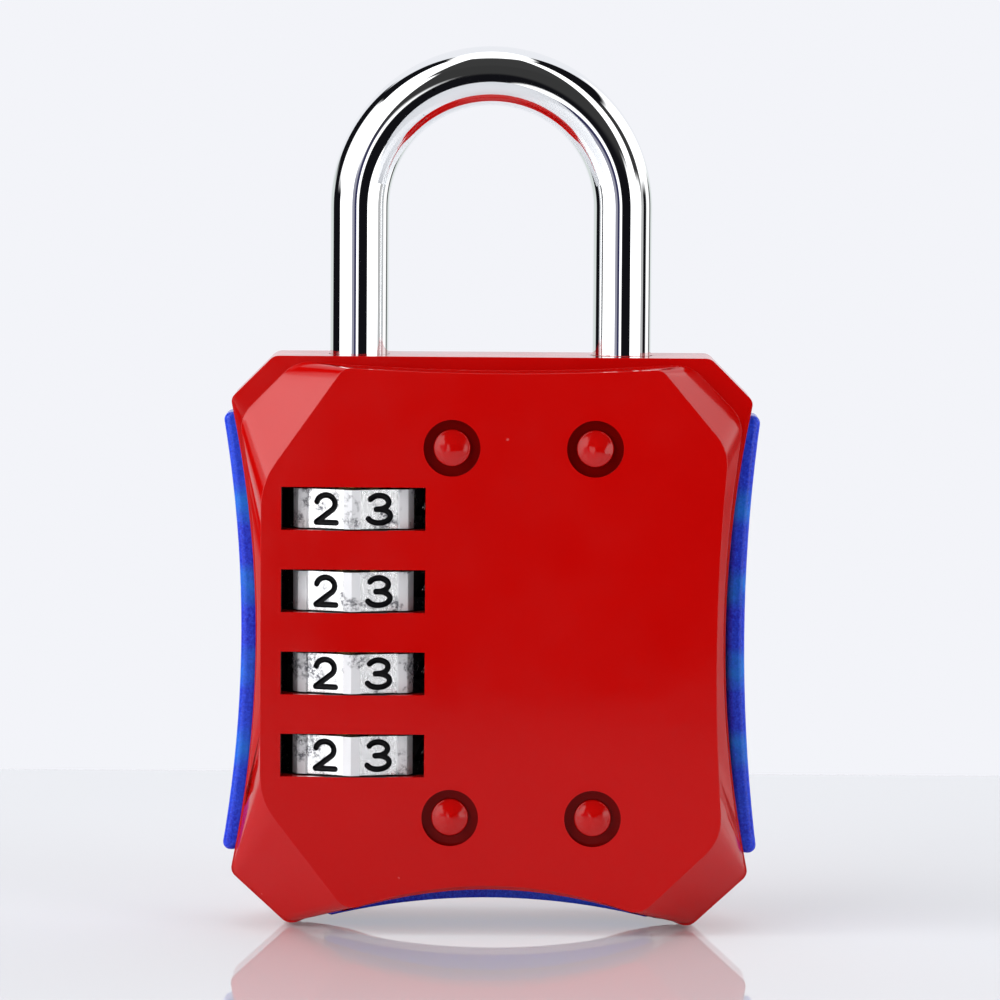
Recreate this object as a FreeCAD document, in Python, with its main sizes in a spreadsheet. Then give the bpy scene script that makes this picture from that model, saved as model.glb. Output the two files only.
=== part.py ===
"""Four-dial combination padlock with a round shackle, two cast case shells and three trim strips.

Frame: +Z up along the shackle legs, front face towards -Y, +X to the right seen from the front.
The origin is the middle of the footprint: the case's two feet stand on Z = 0.
The pieces are drawn about the shackle's own plane, and their placements move that plane to
where the whole lock's depth is centred on Y = 0.
"""
import FreeCAD
import Part
import Sketcher
import math
import os

Vector = FreeCAD.Vector
Rotation = FreeCAD.Rotation
Placement = FreeCAD.Placement

DIAL_COUNT = 4
DIGIT_COUNT = 10
FACET_ANGLE = 360.0 / DIGIT_COUNT

# Driving dimensions in millimetres, one spreadsheet cell each.
DRIVING_SIZES = {
    # case outline, seen from the front
    "case_height": 59.2,
    "case_half_width": 26.8,
    "top_half_width": 22.4,
    "shoulder_height": 54.8,
    "foot_half_width": 20.7,
    "foot_shoulder": 5.6,
    "side_hollow": 2.6,
    "bottom_hollow": 4.5,
    # case depth, measured from the shackle's plane
    "front_depth": 9.4,
    "rear_depth": 11.4,
    "wall": 1.6,
    # flat lip left round the top of each raised face, and the edge at the foot corners
    "lip_depth": 5.0,
    "lip_reach": 2.8,
    "foot_edge_depth": 3.0,
    # hollow in the top of each raised face
    "top_hollow": 1.4,
    "top_hollow_half_width": 19.0,
    # corner facets: how far each reaches along the top or bottom and down or up the side
    "facet_top_left_across": 11.7,
    "facet_top_left_down": 16.6,
    "facet_top_right_across": 9.8,
    "facet_top_right_down": 12.1,
    "facet_foot_left_across": 14.1,
    "facet_foot_left_up": 17.6,
    "facet_foot_right_across": 13.4,
    "facet_foot_right_up": 12.5,
    "rear_facet_across": 10.0,
    "rear_facet_along": 13.0,
    # shackle
    "bar_radius": 3.05,
    "leg_x": 13.75,
    "toe_x": 13.3,
    "shackle_top": 90.9,
    "leg_end": 10.9,
    "toe_depth": 6.0,
    "fin_reach": 4.3,
    "fin_width": 1.8,
    "fin_height": 2.4,
    "fin_gap": 0.3,
    "shaft_clearance": 0.1,
    # number wheels and code sleeves
    "dial_pitch": 8.43,
    "top_dial": 43.75,
    "wheel_height": 4.0,
    "rib_reach": 9.6,
    "rib_width": 1.7,
    "digit_apothem": 8.85,
    "clutch_apothem": 6.1,
    "clutch_height": 3.0,
    "clutch_clearance": 0.06,
    "sleeve_radius": 5.0,
    "sleeve_height": 5.4,
    "keyway_width": 2.2,
    "keyway_reach": 4.5,
    "journal_clearance": 0.1,
    "chamber_radius": 9.9,
    "chamber_clearance": 0.15,
    # dial windows
    "window_width": 14.7,
    "window_height": 4.4,
    "window_shift": 0.3,
    "window_rise": 0.1,
    # rivets
    "rivet_left_x": 4.05,
    "rivet_right_x": 10.55,
    "rivet_upper": 50.1,
    "rivet_lower": 12.2,
    "rivet_head_radius": 1.9,
    "rivet_shank_radius": 1.3,
    "rivet_hole_clearance": 0.05,
    "rivet_recess_radius": 2.9,
    "rivet_recess_depth": 1.0,
    "rivet_head_height": 0.85,
    "rivet_boss_radius": 3.4,
    "rear_head_radius": 2.1,
    "rear_head_height": 0.8,
    "rear_recess_depth": 1.0,
    # trim strips
    "trim_width": 5.5,
    "trim_thickness": 2.0,
    "trim_clearance": 0.05,
    "trim_low": 7.8,
    "trim_high": 53.2,
    "trim_end_x": 27.7,
    "left_trim_hollow": 1.95,
    "right_trim_hollow": 1.5,
    "foot_trim_half_width": 17.0,
    "foot_trim_end": 0.9,
    "foot_trim_hollow": 2.1,
    # hollow beside the dials
    "hollow_left": 2.7,
    "hollow_right": 20.6,
    "hollow_low": 8.2,
    "hollow_high": 50.6,
    # detent leaf
    "leaf_thickness": 0.3,
    "leaf_width": 3.0,
    "leaf_x": 3.45,
    "leaf_low": 14.4,
    "leaf_high": 47.6,
    "leaf_bump_radius": 0.45,
    # springs and washers
    "bore_floor": 4.4,
    "spring_wire_radius": 0.3,
    "spring_coil_radius": 2.3,
    "spring_pitch": 1.25,
    "washer_thickness": 0.5,
    "washer_gap": 0.02,
    "reset_wire_radius": 0.22,
    "reset_coil_radius": 4.75,
    "reset_pitch": 0.9,
    "reset_washer_inside": 4.45,
}

FACETS = {
    # corner name: side (-1 left, 1 right), end (-1 foot, 1 top)
    "top_left": (-1, 1),
    "top_right": (1, 1),
    "foot_left": (-1, -1),
    "foot_right": (1, -1),
}

doc = FreeCAD.newDocument("combination_padlock")
sheet = doc.addObject("Spreadsheet::Sheet", "sizes")
for row, (alias, number) in enumerate(DRIVING_SIZES.items(), start=1):
    sheet.set(f"A{row}", alias)
    sheet.set(f"B{row}", str(number))
    sheet.setAlias(f"B{row}", alias)
doc.recompute()


def size(alias):
    """A driving dimension as a number, read back from the sheet."""
    return float(sheet.get(alias))


def bind(item, expressions):
    """Tie properties of a document object to spreadsheet cells."""
    for path, text in expressions.items():
        item.setExpression(path, text)
    return item


def at(x, y, z):
    """Expressions for a base point."""
    return {"Placement.Base.x": x, "Placement.Base.y": y, "Placement.Base.z": z}


def box(name, low, extent):
    """A block from its lowest corner and its three sides, all given as expressions."""
    item = doc.addObject("Part::Box", name)
    bind(item, {"Length": extent[0], "Width": extent[1], "Height": extent[2]})
    return bind(item, at(*low))


def upright_cylinder(name, radius, height, base):
    """A cylinder that stands along +Z."""
    item = doc.addObject("Part::Cylinder", name)
    bind(item, {"Radius": radius, "Height": height})
    return bind(item, at(*base))


def forward_cylinder(name, radius, height, base):
    """A cylinder that runs from its base towards the front, along -Y."""
    item = doc.addObject("Part::Cylinder", name)
    item.Placement = Placement(Vector(), Rotation(Vector(1, 0, 0), 90))
    bind(item, {"Radius": radius, "Height": height})
    return bind(item, at(*base))


def fuse(name, items):
    joined = doc.addObject("Part::MultiFuse", name)
    joined.Shapes = items
    return joined


def cut(name, base, tools):
    """Base less every tool."""
    result = doc.addObject("Part::Cut", name)
    result.Base = base
    result.Tool = tools[0] if len(tools) == 1 else fuse(name + "_tools", tools)
    return result


def common(name, items):
    shared = doc.addObject("Part::MultiCommon", name)
    shared.Shapes = items
    return shared


def group_solids(name, items):
    """Separate solids kept together as one sub-part."""
    group = doc.addObject("Part::Compound", name)
    group.Links = items
    return group


def origin_plane(body, role):
    for feature in body.Origin.OriginFeatures:
        if feature.Role == role:
            return feature
    raise ValueError(role)


def arc_middle(start, end, hollow):
    """The middle point of an arc that leaves its chord by hollow, to the left of start-to-end."""
    chord = end - start
    left = Vector(-chord.y, chord.x, 0).normalize()
    return (start + end) * 0.5 + left * hollow


def pin_point(sketch, edge, end, x, y):
    """Hold one end of an edge at a signed place, each coordinate as (sign, expression)."""
    for kind, (sign, text) in (("DistanceX", x), ("DistanceY", y)):
        if text == "0":
            axis = -2 if kind == "DistanceX" else -1
            sketch.addConstraint(Sketcher.Constraint("PointOnObject", edge, end, axis))
            continue
        geometry = sketch.getPoint(edge, end)
        distance = abs(geometry.x if kind == "DistanceX" else geometry.y)
        if sign > 0:
            added = sketch.addConstraint(Sketcher.Constraint(kind, -1, 1, edge, end, distance))
        else:
            added = sketch.addConstraint(Sketcher.Constraint(kind, edge, end, -1, 1, distance))
        sketch.setExpression(f"Constraints[{added}]", text)


def number(text):
    """The value of an expression made of cells and arithmetic."""
    sheet.set("D1", "=" + text.replace("sizes.", ""))
    doc.recompute([sheet])
    result = float(sheet.get("D1"))
    sheet.clear("D1")
    return result


def span(start, end):
    """The squared distance between two signed coordinates, as an expression."""
    return f"({start[0]} * ({start[1]}) - {end[0]} * ({end[1]}))^2"


def outline_body(name, corners, hollows, depth, reverse=False, centred=False):
    """A body padded from a closed outline in the XZ plane.

    corners are ((sign, x expression), (sign, z expression)) in order, and hollows maps an edge's
    index to the expression for how far that edge's arc stands inside its chord.
    """
    body = doc.addObject("PartDesign::Body", name)
    sketch = body.newObject("Sketcher::SketchObject", name + "_outline")
    sketch.AttachmentSupport = [(origin_plane(body, "XZ_Plane"), "")]
    sketch.MapMode = "FlatFace"
    points = []
    for x, z in corners:
        points.append(Vector(x[0] * number(x[1]), z[0] * number(z[1]), 0))
    total = len(points)
    for index, start in enumerate(points):
        end = points[(index + 1) % total]
        if index in hollows:
            middle = arc_middle(start, end, number(hollows[index]))
            arc = Part.Arc(start, middle, end)
            sketch.addGeometry(arc, False)
        else:
            sketch.addGeometry(Part.LineSegment(start, end), False)
    # A three-point arc is stored counter-clockwise, so its named ends may be swapped.
    ends = []
    for index, start in enumerate(points):
        first_is_start = sketch.getPoint(index, 1).distanceToPoint(start) < 1e-6
        ends.append((1, 2) if first_is_start else (2, 1))
    for index in range(total):
        following = (index + 1) % total
        sketch.addConstraint(
            Sketcher.Constraint("Coincident", index, ends[index][1], following, ends[following][0]))
    for index, (x, z) in enumerate(corners):
        pin_point(sketch, index, ends[index][0], x, z)
    for index, hollow in hollows.items():
        start = corners[index]
        end = corners[(index + 1) % total]
        chord = f"sqrt({span(start[0], end[0])} + {span(start[1], end[1])})"
        radius = f"abs(({chord}^2 / 4 + ({hollow})^2) / (2 * ({hollow})))"
        added = sketch.addConstraint(Sketcher.Constraint("Radius", index, number(radius)))
        sketch.setExpression(f"Constraints[{added}]", radius)
    doc.recompute()
    pad = body.newObject("PartDesign::Pad", name + "_pad")
    pad.Profile = sketch
    pad.setExpression("Length", depth)
    if centred:
        pad.SideType = "Symmetric"
    pad.Reversed = reverse
    doc.recompute()
    return body


def label(item, name):
    item.Label = name
    return item


# Case -------------------------------------------------------------------------------------------

CASE_CORNERS = [
    ((-1, "sizes.top_half_width"), (1, "sizes.case_height")),
    ((-1, "sizes.case_half_width"), (1, "sizes.shoulder_height")),
    ((-1, "sizes.case_half_width"), (1, "sizes.foot_shoulder")),
    ((-1, "sizes.foot_half_width"), (1, "0")),
    ((1, "sizes.foot_half_width"), (1, "0")),
    ((1, "sizes.case_half_width"), (1, "sizes.foot_shoulder")),
    ((1, "sizes.case_half_width"), (1, "sizes.shoulder_height")),
    ((1, "sizes.top_half_width"), (1, "sizes.case_height")),
]
CASE_HOLLOWS = {1: "sizes.side_hollow", 3: "sizes.bottom_hollow", 5: "sizes.side_hollow"}


def facet_cutter(name, side, end, across, along, depth):
    """A block whose near face is one corner facet of the raised face at y = depth.

    The facet passes through the ridge line on that face, and through whichever end of its lower
    line stands furthest out. At the top the lower line lies on the lip, and at the foot it is the
    outline's own corner cut.
    """
    facing = math.copysign(1, depth)
    corner_x = side * size("case_half_width")
    corner_z = size("case_height") if end > 0 else 0.0
    ridge_end = Vector(corner_x - side * across, depth, corner_z)
    ridge_side = Vector(corner_x, depth, corner_z - end * along)
    if end > 0:
        level = facing * size("lip_depth")
        outer_end = Vector(side * (size("top_half_width") - size("lip_reach")), level, corner_z)
        outer_side = Vector(corner_x, level, size("shoulder_height") - size("lip_reach"))
    else:
        level = facing * size("foot_edge_depth")
        outer_end = Vector(side * size("foot_half_width"), level, corner_z)
        outer_side = Vector(corner_x, level, size("foot_shoulder"))
    planes = []
    for root, other in ((outer_end, outer_side), (outer_side, outer_end)):
        normal = (ridge_side - ridge_end).cross(root - ridge_end).normalize()
        if normal.x * side < 0:
            normal = normal * -1
        planes.append(((other - root).dot(normal), root, normal))
    _, root, normal = min(planes, key=lambda plane: plane[0])
    turn = Rotation(Vector(0, 0, 1), normal)
    block = doc.addObject("Part::Box", name + "_block")
    bind(block, {
        "Length": "2 * sizes.case_height",
        "Width": "2 * sizes.case_height",
        "Height": "sizes.case_half_width",
    })
    centre = Vector(size("case_height"), size("case_height"), 0)
    block.Placement = Placement(root - turn.multVec(centre), turn)
    return common(name, [block, beyond_level(name + "_reach", level)])


def beyond_level(name, level):
    """Everything further from the parting plane than the plane y = level, on the same side."""
    low_y = level if level > 0 else level - size("case_height")
    return box(name, ("-sizes.case_height", f"{low_y} mm", "-sizes.case_height"),
               ("2 * sizes.case_height", "sizes.case_height", "3 * sizes.case_height"))


def top_hollow_cutter(name, facing):
    """A cylinder that hollows the top of one raised face, down to its lip."""
    radius = "((sizes.top_hollow_half_width^2 + sizes.top_hollow^2) / (2 * sizes.top_hollow))"
    start = "-sizes.lip_depth" if facing < 0 else "sizes.lip_depth + sizes.rear_depth"
    return forward_cylinder(name, radius, "sizes.rear_depth",
                            ("0", start, f"sizes.case_height - sizes.top_hollow + {radius}"))


def dial_height(index):
    """The height of a number wheel's middle, as an expression; wheel 1 is the highest."""
    return f"(sizes.top_dial - {index - 1} * sizes.dial_pitch)"


def chamber_tools(side):
    """Round rooms for the wheels, and the bore that carries the sleeves and the long leg."""
    tools = []
    for index in range(1, DIAL_COUNT + 1):
        middle = dial_height(index)
        tools.append(upright_cylinder(
            f"{side}_chamber_{index}", "sizes.chamber_radius",
            "sizes.wheel_height + 2 * sizes.chamber_clearance",
            ("-sizes.leg_x", "0", f"{middle} - sizes.wheel_height / 2 - sizes.chamber_clearance")))
    fin_room = "sizes.sleeve_height / 2 + sizes.fin_height + 2 * sizes.fin_gap"
    lowest = f"({dial_height(DIAL_COUNT)} - ({fin_room}))"
    highest = f"({dial_height(1)} + {fin_room})"
    tools.append(upright_cylinder(
        f"{side}_sleeve_bore", "sizes.sleeve_radius + sizes.journal_clearance",
        f"{highest} - {lowest}", ("-sizes.leg_x", "0", lowest)))
    tools.append(upright_cylinder(
        f"{side}_long_leg_bore", "sizes.bar_radius + sizes.shaft_clearance",
        "sizes.case_height", ("-sizes.leg_x", "0", "sizes.bore_floor")))
    tools.append(upright_cylinder(
        f"{side}_toe_bore", "sizes.bar_radius + sizes.shaft_clearance",
        "sizes.case_height",
        ("sizes.toe_x", "0", "sizes.case_height - sizes.toe_depth - sizes.fin_gap")))
    tools.append(box(
        f"{side}_leaf_slot",
        ("-sizes.leaf_x - 5 * sizes.leaf_thickness", "-sizes.leaf_width / 2 - sizes.trim_clearance",
         "sizes.leaf_low"),
        ("10 * sizes.leaf_thickness", "sizes.leaf_width + 2 * sizes.trim_clearance",
         "sizes.leaf_high - sizes.leaf_low")))
    return tools


def rivet_places():
    places = []
    for x in ("-sizes.rivet_left_x", "sizes.rivet_right_x"):
        for z in ("sizes.rivet_upper", "sizes.rivet_lower"):
            places.append((x, z))
    return places


def trim_pockets(side):
    """Room for the three trim strips, cut into the case's rim."""
    pockets = []
    for name, corners, hollows in trim_outlines("sizes.trim_clearance"):
        pockets.append(outline_body(
            f"{side}_pocket_{name}", corners, hollows,
            "sizes.trim_width + 2 * sizes.trim_clearance", centred=True))
    return pockets


def trim_outlines(room="0"):
    """Outlines of the strips. room widens a strip's inner side and ends, for its pocket."""
    outlines = []
    for name, sign, hollow in (("left", -1, "sizes.left_trim_hollow"),
                               ("right", 1, "sizes.right_trim_hollow")):
        outer = (sign, "sizes.trim_end_x")
        inner = (sign, f"sizes.trim_end_x - sizes.trim_thickness - {room}")
        low = (1, f"sizes.trim_low - {room}")
        high = (1, f"sizes.trim_high + {room}")
        if sign < 0:
            corners = [(outer, high), (outer, low), (inner, low), (inner, high)]
            hollows = {0: hollow, 2: f"-({hollow})"}
        else:
            corners = [(outer, low), (outer, high), (inner, high), (inner, low)]
            hollows = {0: hollow, 2: f"-({hollow})"}
        outlines.append((name, corners, hollows))
    half = f"sizes.foot_trim_half_width + {room}"
    low = (1, "sizes.foot_trim_end")
    high = (1, f"sizes.foot_trim_end + sizes.trim_thickness + {room}")
    corners = [((-1, half), low), ((1, half), low), ((1, half), high), ((-1, half), high)]
    outlines.append(("bottom", corners, {0: "sizes.foot_trim_hollow", 2: "-sizes.foot_trim_hollow"}))
    return outlines


def case_hollow(side, low_y, depth):
    """The empty room beside the dials, less the bosses round the rivets."""
    room = box(
        f"{side}_hollow", ("-sizes.hollow_left", low_y, "sizes.hollow_low"),
        ("sizes.hollow_left + sizes.hollow_right", depth, "sizes.hollow_high - sizes.hollow_low"))
    bosses = []
    for index, (x, z) in enumerate(rivet_places(), start=1):
        bosses.append(forward_cylinder(
            f"{side}_boss_{index}", "sizes.rivet_boss_radius", "2 * sizes.rear_depth",
            (x, "sizes.rear_depth", z)))
    return cut(f"{side}_hollow_room", room, bosses)


def front_shell():
    blank = outline_body("front_blank", CASE_CORNERS, CASE_HOLLOWS, "sizes.front_depth")
    tools = chamber_tools("front") + trim_pockets("front")
    for name, (side, end) in FACETS.items():
        along = "down" if end > 0 else "up"
        tools.append(facet_cutter(
            f"front_facet_{name}", side, end, size(f"facet_{name}_across"),
            size(f"facet_{name}_{along}"), -size("front_depth")))
    tools.append(top_hollow_cutter("front_top_hollow", -1))
    for index in range(1, DIAL_COUNT + 1):
        tools.append(box(
            f"window_{index}",
            ("-sizes.leg_x - sizes.window_shift - sizes.window_width / 2",
             "-sizes.front_depth - sizes.wall",
             f"{dial_height(index)} + sizes.window_rise - sizes.window_height / 2"),
            ("sizes.window_width", "sizes.front_depth", "sizes.window_height")))
    tools.append(case_hollow("front", "-sizes.front_depth + sizes.wall", "sizes.front_depth"))
    for index, (x, z) in enumerate(rivet_places(), start=1):
        tools.append(forward_cylinder(
            f"front_recess_{index}", "sizes.rivet_recess_radius", "sizes.front_depth",
            (x, "-sizes.front_depth + sizes.rivet_recess_depth", z)))
        tools.append(forward_cylinder(
            f"front_rivet_hole_{index}", "sizes.rivet_shank_radius + sizes.rivet_hole_clearance",
            "2 * sizes.front_depth", (x, "sizes.wall", z)))
    return label(cut("front_case", blank, tools), "front_shell")


def rear_shell():
    blank = outline_body("rear_blank", CASE_CORNERS, CASE_HOLLOWS, "sizes.rear_depth", reverse=True)
    tools = chamber_tools("rear") + trim_pockets("rear")
    for name, (side, end) in FACETS.items():
        tools.append(facet_cutter(
            f"rear_facet_{name}", side, end, size("rear_facet_across"),
            size("rear_facet_along"), size("rear_depth")))
    tools.append(top_hollow_cutter("rear_top_hollow", 1))
    tools.append(case_hollow("rear", "-sizes.wall", "sizes.rear_depth"))
    for index, (x, z) in enumerate(rivet_places(), start=1):
        tools.append(forward_cylinder(
            f"rear_recess_{index}", "sizes.rear_head_radius + sizes.rivet_hole_clearance",
            "sizes.rear_recess_depth", (x, "sizes.rear_depth", z)))
        tools.append(forward_cylinder(
            f"rear_rivet_hole_{index}", "sizes.rivet_shank_radius + sizes.rivet_hole_clearance",
            "2 * sizes.rear_depth", (x, "sizes.rear_depth", z)))
    return label(cut("rear_case", blank, tools), "rear_shell")


def trims():
    made = []
    for name, corners, hollows in trim_outlines():
        body = outline_body(f"{name}_strip", corners, hollows, "sizes.trim_width", centred=True)
        made.append(label(body, f"{name}_trim"))
    return made


def case_rivets():
    """Four headed rivets that clamp the shells together."""
    rivets = []
    for index, (x, z) in enumerate(rivet_places(), start=1):
        head_base = "-sizes.front_depth + sizes.rivet_recess_depth"
        head = forward_cylinder(
            f"rivet_head_{index}", "sizes.rivet_head_radius", "sizes.rivet_head_height",
            (x, head_base, z))
        rear_y = "sizes.rear_depth - sizes.rear_recess_depth"
        shank = forward_cylinder(
            f"rivet_shank_{index}", "sizes.rivet_shank_radius",
            f"{rear_y} - ({head_base})", (x, rear_y, z))
        tail = forward_cylinder(
            f"rivet_tail_{index}", "sizes.rear_head_radius", "sizes.rear_head_height",
            (x, f"{rear_y} + sizes.rear_head_height", z))
        rivets.append(fuse(f"rivet_{index}", [head, shank, tail]))
    return label(group_solids("rivet_group", rivets), "case_rivets")


# Shackle ----------------------------------------------------------------------------------------

def shackle():
    """Round bar bent to a half circle, with four fins on its long leg."""
    arch_radius = "(sizes.leg_x + sizes.toe_x) / 2"
    arch_x = "(sizes.toe_x - sizes.leg_x) / 2"
    arch_z = f"(sizes.shackle_top - sizes.bar_radius - {arch_radius})"
    arch = doc.addObject("Part::Torus", "shackle_arch")
    arch.Placement = Placement(Vector(), Rotation(Vector(1, 0, 0), 90))
    arch.Angle3 = 180
    bind(arch, {"Radius1": arch_radius, "Radius2": "sizes.bar_radius"})
    bind(arch, at(arch_x, "0", arch_z))
    long_leg = upright_cylinder(
        "shackle_long_leg", "sizes.bar_radius", f"{arch_z} - sizes.leg_end",
        ("-sizes.leg_x", "0", "sizes.leg_end"))
    toe_end = "(sizes.case_height - sizes.toe_depth)"
    short_leg = upright_cylinder(
        "shackle_short_leg", "sizes.bar_radius", f"{arch_z} - {toe_end}",
        ("sizes.toe_x", "0", toe_end))
    pieces = [arch, long_leg, short_leg]
    for index in range(1, DIAL_COUNT + 1):
        top = f"{dial_height(index)} - sizes.sleeve_height / 2 - sizes.fin_gap"
        pieces.append(box(
            f"shackle_fin_{index}",
            ("-sizes.leg_x - sizes.fin_width / 2", "0", f"{top} - sizes.fin_height"),
            ("sizes.fin_width", "sizes.fin_reach", "sizes.fin_height")))
    return label(fuse("shackle_bar", pieces), "shackle")


# Dials ------------------------------------------------------------------------------------------

def decagon(name, apothem, height, middle, turn):
    """An upright ten-sided prism about the dial axis, with one flat turned by turn from +X."""
    prism = doc.addObject("Part::Prism", name)
    prism.Polygon = DIGIT_COUNT
    prism.Placement = Placement(Vector(), Rotation(Vector(0, 0, 1), turn + FACET_ANGLE / 2))
    bind(prism, {"Circumradius": f"({apothem}) / cos(180 deg / {DIGIT_COUNT})", "Height": height})
    return bind(prism, at("-sizes.leg_x", "0", f"{middle} - ({height}) / 2"))


def rib_pair(name, middle, turn):
    """A bar across the wheel whose two ends are opposite ribs, turned by turn from the Y axis."""
    bar = doc.addObject("Part::Box", name)
    angle = math.radians(turn)
    bar.Placement = Placement(Vector(), Rotation(Vector(0, 0, 1), turn))
    bind(bar, {"Length": "sizes.rib_width", "Width": "2 * sizes.rib_reach",
               "Height": "sizes.wheel_height"})
    across = f"sizes.rib_width / 2 * {math.cos(angle):.9f} - sizes.rib_reach * {math.sin(angle):.9f}"
    along = f"sizes.rib_width / 2 * {math.sin(angle):.9f} + sizes.rib_reach * {math.cos(angle):.9f}"
    return bind(bar, at(f"-sizes.leg_x - ({across})", f"-({along})",
                        f"{middle} - sizes.wheel_height / 2"))


def dial_wheel(index):
    """A ten-digit wheel: a flat for each digit, with a raised rib between each pair."""
    middle = dial_height(index)
    digit_flats = decagon(f"digit_flats_{index}", "sizes.digit_apothem", "sizes.wheel_height", middle,
                          90 + FACET_ANGLE / 2)
    bars = [digit_flats]
    for step in range(DIGIT_COUNT // 2):
        bars.append(rib_pair(f"rib_pair_{index}_{step + 1}", middle, step * FACET_ANGLE))
    outside = fuse(f"wheel_outside_{index}", bars)
    clutch_hole = decagon(f"clutch_hole_{index}", "sizes.clutch_apothem + sizes.clutch_clearance",
                          "2 * sizes.wheel_height", middle, 90)
    return label(cut(f"wheel_{index}", outside, [clutch_hole]), f"dial_wheel_{index}")


def dial_sleeve(index):
    """The code sleeve inside a wheel: a ten-sided clutch on a round tube with a keyway."""
    middle = dial_height(index)
    tube = upright_cylinder(
        f"sleeve_tube_{index}", "sizes.sleeve_radius", "sizes.sleeve_height",
        ("-sizes.leg_x", "0", f"{middle} - sizes.sleeve_height / 2"))
    clutch = decagon(f"sleeve_clutch_{index}", "sizes.clutch_apothem", "sizes.clutch_height",
                     middle, 90)
    bore = upright_cylinder(
        f"sleeve_bore_{index}", "sizes.bar_radius + sizes.shaft_clearance",
        "2 * sizes.sleeve_height", ("-sizes.leg_x", "0", f"{middle} - sizes.sleeve_height"))
    keyway = box(
        f"sleeve_keyway_{index}",
        ("-sizes.leg_x - sizes.keyway_width / 2", "0", f"{middle} - sizes.sleeve_height"),
        ("sizes.keyway_width", "sizes.keyway_reach", "2 * sizes.sleeve_height"))
    solid = fuse(f"sleeve_solid_{index}", [tube, clutch])
    return label(cut(f"sleeve_{index}", solid, [bore, keyway]), f"dial_sleeve_{index}")


# Springs and washers ----------------------------------------------------------------------------

def coil_spring(name, coil_radius, wire_radius, pitch, height, base_z):
    """An upright coil of round wire about the dial axis."""
    helix = doc.addObject("Part::Helix", name + "_line")
    bind(helix, {"Pitch": pitch, "Height": height, "Radius": coil_radius})
    wire = doc.addObject("Part::Circle", name + "_wire")
    wire.Placement = Placement(Vector(), Rotation(Vector(1, 0, 0), 90))
    bind(wire, {"Radius": wire_radius, "Placement.Base.x": coil_radius})
    coil = doc.addObject("Part::Sweep", name + "_coil")
    coil.Sections = [wire]
    coil.Spine = (helix, ["Edge1"])
    coil.Solid = True
    coil.Frenet = True
    return bind(coil, at("-sizes.leg_x", "0", base_z))


def shackle_spring():
    height = ("sizes.leg_end - sizes.washer_thickness - 2 * sizes.washer_gap - sizes.bore_floor"
              " - 2 * sizes.spring_wire_radius")
    coil = coil_spring("push", "sizes.spring_coil_radius", "sizes.spring_wire_radius",
                       "sizes.spring_pitch", height,
                       "sizes.bore_floor + sizes.spring_wire_radius + sizes.washer_gap")
    return label(coil, "shackle_spring")


def thrust_washer():
    disc = upright_cylinder(
        "thrust_disc", "sizes.bar_radius", "sizes.washer_thickness",
        ("-sizes.leg_x", "0", "sizes.leg_end - sizes.washer_thickness"))
    return label(disc, "thrust_washer")


RESET_SEAT = f"({dial_height(1)} + sizes.sleeve_height / 2 + sizes.washer_gap)"
RESET_ROOF = f"({dial_height(1)} + sizes.sleeve_height / 2 + sizes.fin_height + 2 * sizes.fin_gap)"


def reset_washer():
    disc = upright_cylinder("reset_disc", "sizes.sleeve_radius", "sizes.washer_thickness",
                            ("-sizes.leg_x", "0", RESET_SEAT))
    eye = upright_cylinder("reset_eye", "sizes.reset_washer_inside", "2 * sizes.washer_thickness",
                           ("-sizes.leg_x", "0", f"{RESET_SEAT} - sizes.washer_thickness / 2"))
    return label(cut("reset_ring", disc, [eye]), "reset_washer")


def reset_spring():
    low = f"{RESET_SEAT} + sizes.washer_thickness + sizes.reset_wire_radius + sizes.washer_gap"
    height = f"{RESET_ROOF} - sizes.washer_gap - sizes.reset_wire_radius - ({low})"
    coil = coil_spring("reset", "sizes.reset_coil_radius", "sizes.reset_wire_radius",
                       "sizes.reset_pitch", height, low)
    return label(coil, "reset_spring")


def detent_leaf():
    """A flat spring strip with one rounded bump for each wheel."""
    strip = box(
        "leaf_strip",
        ("-sizes.leaf_x - sizes.leaf_thickness / 2", "-sizes.leaf_width / 2", "sizes.leaf_low"),
        ("sizes.leaf_thickness", "sizes.leaf_width", "sizes.leaf_high - sizes.leaf_low"))
    pieces = [strip]
    for index in range(1, DIAL_COUNT + 1):
        pieces.append(upright_cylinder(
            f"leaf_bump_{index}", "sizes.leaf_bump_radius", "sizes.clutch_height",
            ("-sizes.leaf_x", "0", f"{dial_height(index)} - sizes.clutch_height / 2")))
    return label(fuse("leaf", pieces), "detent_leaf")


# Moves every piece so that the lock's whole depth is centred on Y = 0.
DEPTH_SHIFT = "(sizes.rib_reach - sizes.rear_depth) / 2"


def build():
    pieces = [front_shell(), rear_shell()] + trims()
    pieces += [case_rivets(), shackle()]
    for index in range(1, DIAL_COUNT + 1):
        pieces.append(dial_wheel(index))
        pieces.append(dial_sleeve(index))
    pieces += [shackle_spring(), thrust_washer(), reset_spring(), reset_washer(), detent_leaf()]
    for piece in pieces:
        piece.setExpression("Placement.Base.y", DEPTH_SHIFT)
    return pieces


def check_and_write(pieces):
    """Stop on any failed object, then write one STEP file for each piece."""
    doc.recompute()
    for item in doc.Objects:
        if "Invalid" in item.State or "Error" in item.State:
            raise RuntimeError(f"{item.Name} failed: {item.State}")
    os.makedirs("parts", exist_ok=True)
    for piece in pieces:
        shape = piece.Shape
        if shape.isNull() or not shape.isValid():
            raise RuntimeError(f"{piece.Label} has no valid shape")
        print(piece.Label, len(shape.Solids), round(shape.Volume, 2))
        shape.exportStep(f"parts/{piece.Label}.step")


check_and_write(build())
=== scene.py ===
"""Looks of the four-dial combination padlock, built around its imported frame."""
import bmesh
import bpy
import math
from mathutils import Euler, Matrix, Vector
from mathutils.bvhtree import BVHTree


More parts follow.
